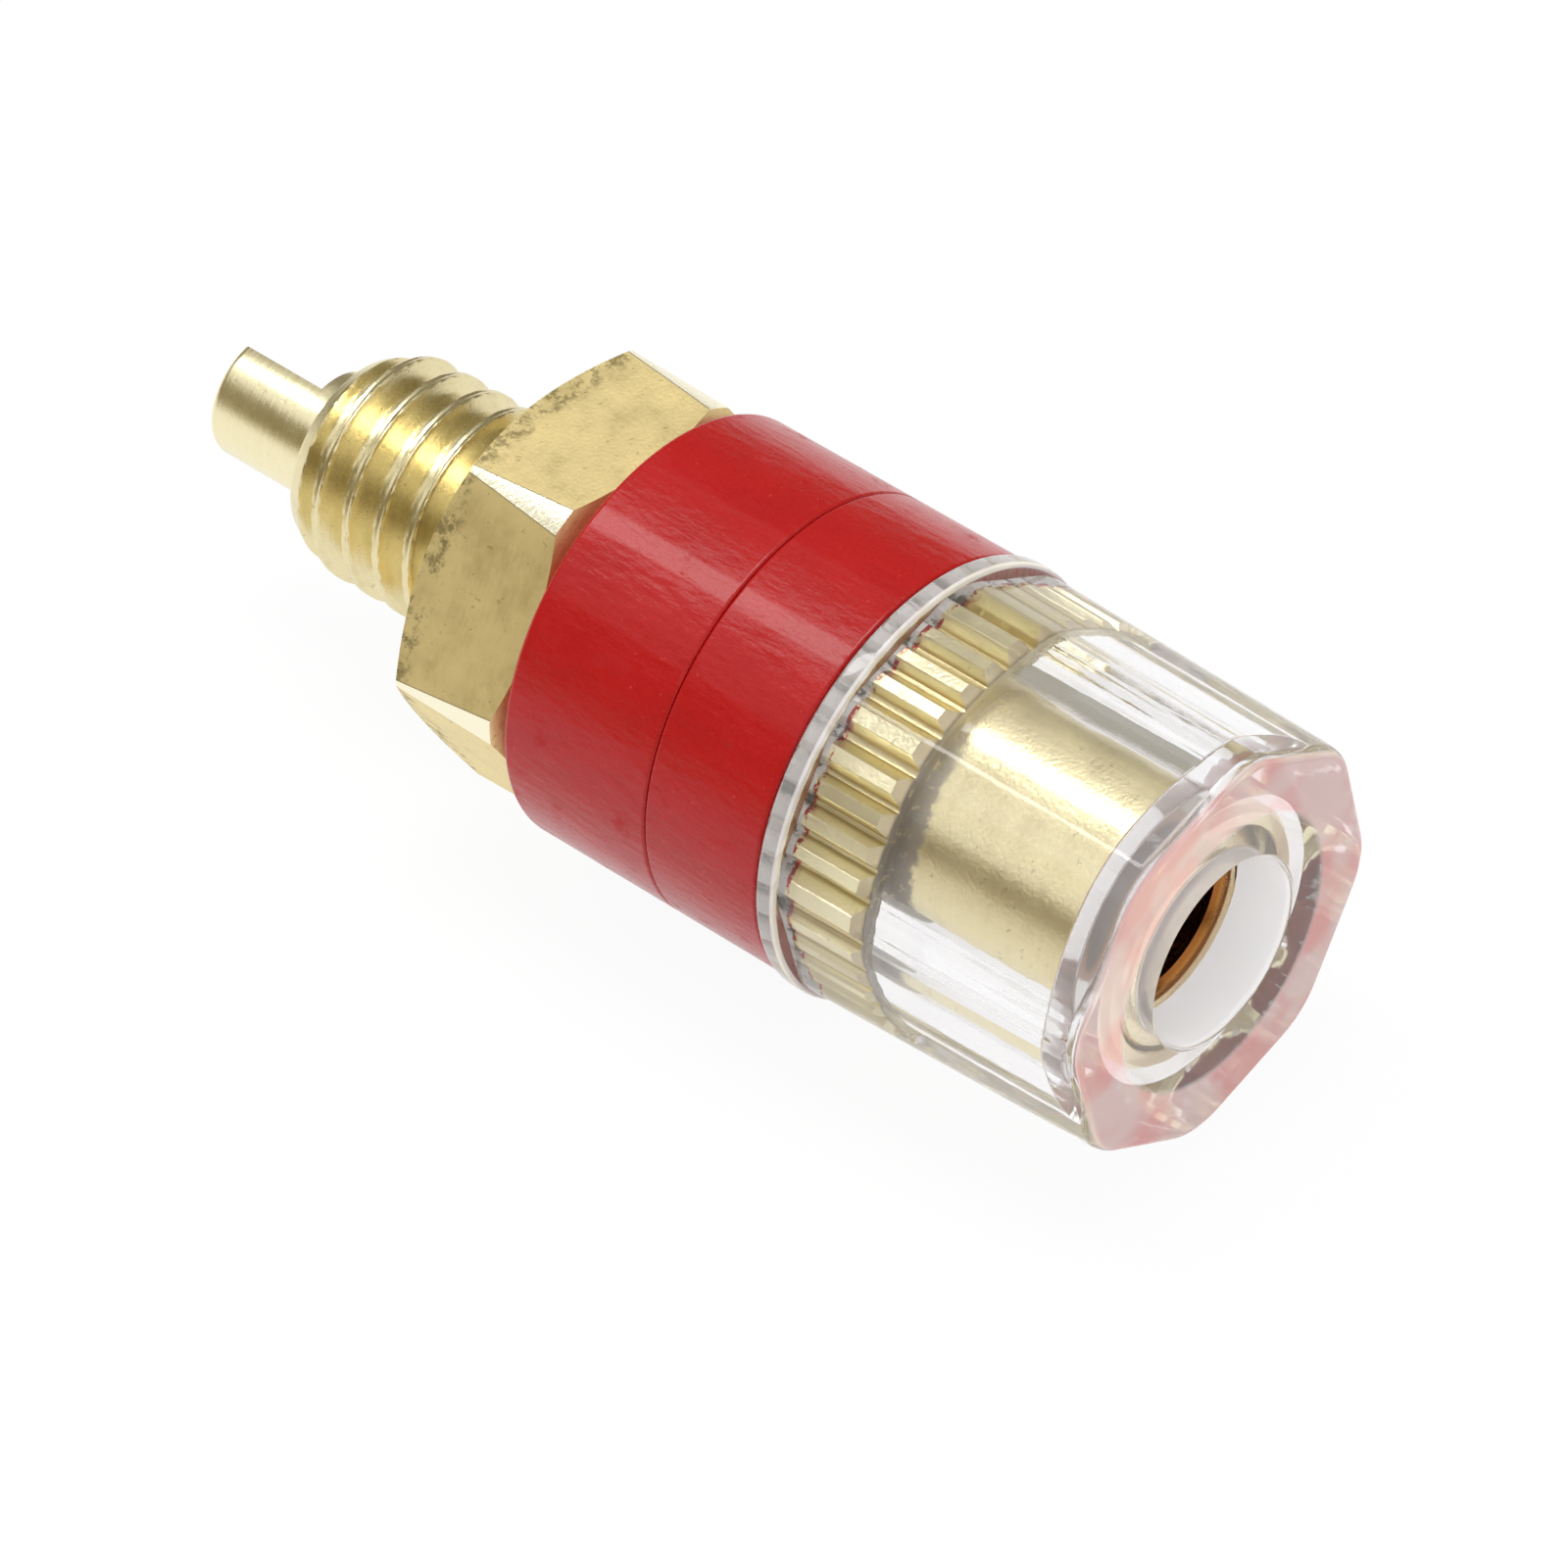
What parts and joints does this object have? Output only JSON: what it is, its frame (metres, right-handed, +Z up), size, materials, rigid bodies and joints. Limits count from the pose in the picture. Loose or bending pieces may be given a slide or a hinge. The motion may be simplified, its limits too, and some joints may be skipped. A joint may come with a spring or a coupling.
{
  "type": "binding post",
  "caption": "Panel binding post with a clear faceted screw cap over a plug socket and wire hole, red insulators, a threaded stud with a hex nut, and a solder cup.",
  "frame": {"origin": "on the axis, in the plane where the front insulator seats on the panel", "axes": "+Y along the axis towards the solder cup, -Y out of the clear cap, +Z up, as on an upright panel"},
  "size_m": [0.0116, 0.0309, 0.0116],
  "materials": {
    "post_brass": "bright turned brass",
    "nut_brass": "bright milled brass",
    "insert_brass": "bright turned brass",
    "red_plastic": "satin gloss",
    "clear_plastic": "clear and polished"
  },
  "bodies": {
    "post": {"post": "post_brass", "front_insulator": "red_plastic"},
    "rear_insulator": {"rear_insulator": "red_plastic"},
    "hex_nut": {"hex_nut": "nut_brass"},
    "cap_insert": {"cap_insert": "insert_brass"},
    "clear_cap": {"clear_cap": "clear_plastic"}
  },
  "joints": [
    {"name": "cap_travel", "type": "slide", "parent": "post", "child": "cap_insert", "axis": [0, -1, 0], "range_m": [0, 0.006]},
    {"name": "cap_turn", "type": "hinge", "parent": "cap_insert", "child": "clear_cap", "pos_m": [0, 0, 0], "axis": [0, -1, 0], "range_deg": [0, 2160]},
    {"name": "clamp_travel", "type": "slide", "parent": "post", "child": "rear_insulator", "axis": [0, 1, 0], "range_m": [0, 0.005]},
    {"name": "nut_turn", "type": "hinge", "parent": "rear_insulator", "child": "hex_nut", "pos_m": [0, 0, 0], "axis": [0, 1, 0], "range_deg": [0, 1800]}
  ],
  "couplings": [
    {"joint": "cap_turn", "follows": "cap_travel", "rad_per_m": 6283.1},
    {"joint": "nut_turn", "follows": "clamp_travel", "rad_per_m": 6283.1}
  ]
}
